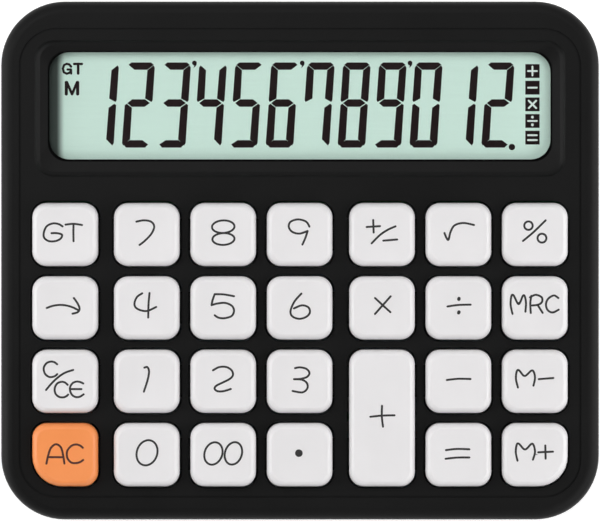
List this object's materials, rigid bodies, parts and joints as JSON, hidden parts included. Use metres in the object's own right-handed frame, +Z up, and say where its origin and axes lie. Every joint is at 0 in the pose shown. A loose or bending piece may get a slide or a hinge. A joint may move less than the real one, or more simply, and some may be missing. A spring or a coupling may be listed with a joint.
{
  "type": "desk calculator",
  "caption": "Wedge-shaped desk calculator with a wide recessed display, a sprung key grid with one tall key, rubber feet and a sliding battery door.",
  "frame": {"origin": "on the desk, below the middle of the case", "axes": "+X to the right along the display, +Y to the rear where the display is, +Z up from the desk; the deck slopes 5 degrees up towards +Y"},
  "size_m": [0.15, 0.13, 0.0269],
  "materials": {
    "case_plastic": "satin moulded ABS",
    "key_white": "smooth satin moulded ABS",
    "key_orange": "smooth satin moulded ABS",
    "clear_plastic": "clear polished acrylic",
    "lcd": "grey-green reflective liquid-crystal glass",
    "foam": "black foam tape",
    "frame_plastic": "white moulded ABS",
    "ribbon_film": "amber polyimide film",
    "silicone": "translucent grey silicone",
    "board": "green solder mask on phenolic board",
    "epoxy": "black epoxy",
    "capacitor_sleeve": "dark blue shrink sleeve",
    "zinc_steel": "zinc plated",
    "nickel_spring": "bright nickel plating",
    "cell_sleeve": "plain green printed sleeve",
    "red_lead": "soft PVC insulation",
    "black_lead": "soft PVC insulation",
    "foot_rubber": "matt rubber"
  },
  "bodies": {
    "case": {"top_case": "case_plastic", "bottom_case": "case_plastic", "display_window": "clear_plastic", "display_gasket": "foam", "lcd_glass": "lcd", "lcd_frame": "frame_plastic", "lcd_ribbon": "ribbon_film", "rubber_sheet": "silicone", "circuit_board": "board", "chip_cover": "epoxy", "capacitor": "capacitor_sleeve", "board_screws": "zinc_steel", "battery_cells": "cell_sleeve", "contact_bridge": "nickel_spring", "contact_spring": "nickel_spring", "contact_plate": "nickel_spring", "lead_positive": "red_lead", "lead_negative": "black_lead", "case_screws": "zinc_steel", "rubber_feet": "foot_rubber"},
    "key_grand_total": {"key_grand_total": "key_white"},
    "key_7": {"key_7": "key_white"},
    "key_8": {"key_8": "key_white"},
    "key_9": {"key_9": "key_white"},
    "key_sign": {"key_sign": "key_white"},
    "key_root": {"key_root": "key_white"},
    "key_percent": {"key_percent": "key_white"},
    "key_backspace": {"key_backspace": "key_white"},
    "key_4": {"key_4": "key_white"},
    "key_5": {"key_5": "key_white"},
    "key_6": {"key_6": "key_white"},
    "key_times": {"key_times": "key_white"},
    "key_divide": {"key_divide": "key_white"},
    "key_memory_recall": {"key_memory_recall": "key_white"},
    "key_clear_entry": {"key_clear_entry": "key_white"},
    "key_1": {"key_1": "key_white"},
    "key_2": {"key_2": "key_white"},
    "key_3": {"key_3": "key_white"},
    "key_minus": {"key_minus": "key_white"},
    "key_memory_minus": {"key_memory_minus": "key_white"},
    "key_all_clear": {"key_all_clear": "key_orange"},
    "key_0": {"key_0": "key_white"},
    "key_00": {"key_00": "key_white"},
    "key_point": {"key_point": "key_white"},
    "key_plus": {"key_plus": "key_white"},
    "key_equals": {"key_equals": "key_white"},
    "key_memory_plus": {"key_memory_plus": "key_white"},
    "battery_door": {"battery_door": "case_plastic"}
  },
  "joints": [
    {"name": "key_grand_total_press", "type": "slide", "parent": "case", "child": "key_grand_total", "axis": [0, 0.0872, -0.9962], "range_m": [0, 0.002], "stiffness_N_per_m": 300, "springref_m": -0.0012, "deforming": ["rubber_sheet"]},
    {"name": "key_7_press", "type": "slide", "parent": "case", "child": "key_7", "axis": [0, 0.0872, -0.9962], "range_m": [0, 0.002], "stiffness_N_per_m": 300, "springref_m": -0.0012, "deforming": ["rubber_sheet"]},
    {"name": "key_8_press", "type": "slide", "parent": "case", "child": "key_8", "axis": [0, 0.0872, -0.9962], "range_m": [0, 0.002], "stiffness_N_per_m": 300, "springref_m": -0.0012, "deforming": ["rubber_sheet"]},
    {"name": "key_9_press", "type": "slide", "parent": "case", "child": "key_9", "axis": [0, 0.0872, -0.9962], "range_m": [0, 0.002], "stiffness_N_per_m": 300, "springref_m": -0.0012, "deforming": ["rubber_sheet"]},
    {"name": "key_sign_press", "type": "slide", "parent": "case", "child": "key_sign", "axis": [0, 0.0872, -0.9962], "range_m": [0, 0.002], "stiffness_N_per_m": 300, "springref_m": -0.0012, "deforming": ["rubber_sheet"]},
    {"name": "key_root_press", "type": "slide", "parent": "case", "child": "key_root", "axis": [0, 0.0872, -0.9962], "range_m": [0, 0.002], "stiffness_N_per_m": 300, "springref_m": -0.0012, "deforming": ["rubber_sheet"]},
    {"name": "key_percent_press", "type": "slide", "parent": "case", "child": "key_percent", "axis": [0, 0.0872, -0.9962], "range_m": [0, 0.002], "stiffness_N_per_m": 300, "springref_m": -0.0012, "deforming": ["rubber_sheet"]},
    {"name": "key_backspace_press", "type": "slide", "parent": "case", "child": "key_backspace", "axis": [0, 0.0872, -0.9962], "range_m": [0, 0.002], "stiffness_N_per_m": 300, "springref_m": -0.0012, "deforming": ["rubber_sheet"]},
    {"name": "key_4_press", "type": "slide", "parent": "case", "child": "key_4", "axis": [0, 0.0872, -0.9962], "range_m": [0, 0.002], "stiffness_N_per_m": 300, "springref_m": -0.0012, "deforming": ["rubber_sheet"]},
    {"name": "key_5_press", "type": "slide", "parent": "case", "child": "key_5", "axis": [0, 0.0872, -0.9962], "range_m": [0, 0.002], "stiffness_N_per_m": 300, "springref_m": -0.0012, "deforming": ["rubber_sheet"]},
    {"name": "key_6_press", "type": "slide", "parent": "case", "child": "key_6", "axis": [0, 0.0872, -0.9962], "range_m": [0, 0.002], "stiffness_N_per_m": 300, "springref_m": -0.0012, "deforming": ["rubber_sheet"]},
    {"name": "key_times_press", "type": "slide", "parent": "case", "child": "key_times", "axis": [0, 0.0872, -0.9962], "range_m": [0, 0.002], "stiffness_N_per_m": 300, "springref_m": -0.0012, "deforming": ["rubber_sheet"]},
    {"name": "key_divide_press", "type": "slide", "parent": "case", "child": "key_divide", "axis": [0, 0.0872, -0.9962], "range_m": [0, 0.002], "stiffness_N_per_m": 300, "springref_m": -0.0012, "deforming": ["rubber_sheet"]},
    {"name": "key_memory_recall_press", "type": "slide", "parent": "case", "child": "key_memory_recall", "axis": [0, 0.0872, -0.9962], "range_m": [0, 0.002], "stiffness_N_per_m": 300, "springref_m": -0.0012, "deforming": ["rubber_sheet"]},
    {"name": "key_clear_entry_press", "type": "slide", "parent": "case", "child": "key_clear_entry", "axis": [0, 0.0872, -0.9962], "range_m": [0, 0.002], "stiffness_N_per_m": 300, "springref_m": -0.0012, "deforming": ["rubber_sheet"]},
    {"name": "key_1_press", "type": "slide", "parent": "case", "child": "key_1", "axis": [0, 0.0872, -0.9962], "range_m": [0, 0.002], "stiffness_N_per_m": 300, "springref_m": -0.0012, "deforming": ["rubber_sheet"]},
    {"name": "key_2_press", "type": "slide", "parent": "case", "child": "key_2", "axis": [0, 0.0872, -0.9962], "range_m": [0, 0.002], "stiffness_N_per_m": 300, "springref_m": -0.0012, "deforming": ["rubber_sheet"]},
    {"name": "key_3_press", "type": "slide", "parent": "case", "child": "key_3", "axis": [0, 0.0872, -0.9962], "range_m": [0, 0.002], "stiffness_N_per_m": 300, "springref_m": -0.0012, "deforming": ["rubber_sheet"]},
    {"name": "key_minus_press", "type": "slide", "parent": "case", "child": "key_minus", "axis": [0, 0.0872, -0.9962], "range_m": [0, 0.002], "stiffness_N_per_m": 300, "springref_m": -0.0012, "deforming": ["rubber_sheet"]},
    {"name": "key_memory_minus_press", "type": "slide", "parent": "case", "child": "key_memory_minus", "axis": [0, 0.0872, -0.9962], "range_m": [0, 0.002], "stiffness_N_per_m": 300, "springref_m": -0.0012, "deforming": ["rubber_sheet"]},
    {"name": "key_all_clear_press", "type": "slide", "parent": "case", "child": "key_all_clear", "axis": [0, 0.0872, -0.9962], "range_m": [0, 0.002], "stiffness_N_per_m": 300, "springref_m": -0.0012, "deforming": ["rubber_sheet"]},
    {"name": "key_0_press", "type": "slide", "parent": "case", "child": "key_0", "axis": [0, 0.0872, -0.9962], "range_m": [0, 0.002], "stiffness_N_per_m": 300, "springref_m": -0.0012, "deforming": ["rubber_sheet"]},
    {"name": "key_00_press", "type": "slide", "parent": "case", "child": "key_00", "axis": [0, 0.0872, -0.9962], "range_m": [0, 0.002], "stiffness_N_per_m": 300, "springref_m": -0.0012, "deforming": ["rubber_sheet"]},
    {"name": "key_point_press", "type": "slide", "parent": "case", "child": "key_point", "axis": [0, 0.0872, -0.9962], "range_m": [0, 0.002], "stiffness_N_per_m": 300, "springref_m": -0.0012, "deforming": ["rubber_sheet"]},
    {"name": "key_plus_press", "type": "slide", "parent": "case", "child": "key_plus", "axis": [0, 0.0872, -0.9962], "range_m": [0, 0.002], "stiffness_N_per_m": 300, "springref_m": -0.0012, "deforming": ["rubber_sheet"]},
    {"name": "key_equals_press", "type": "slide", "parent": "case", "child": "key_equals", "axis": [0, 0.0872, -0.9962], "range_m": [0, 0.002], "stiffness_N_per_m": 300, "springref_m": -0.0012, "deforming": ["rubber_sheet"]},
    {"name": "key_memory_plus_press", "type": "slide", "parent": "case", "child": "key_memory_plus", "axis": [0, 0.0872, -0.9962], "range_m": [0, 0.002], "stiffness_N_per_m": 300, "springref_m": -0.0012, "deforming": ["rubber_sheet"]},
    {"name": "battery_door_slide", "type": "slide", "parent": "case", "child": "battery_door", "axis": [0, 1, 0], "range_m": [0, 0.028]}
  ]
}
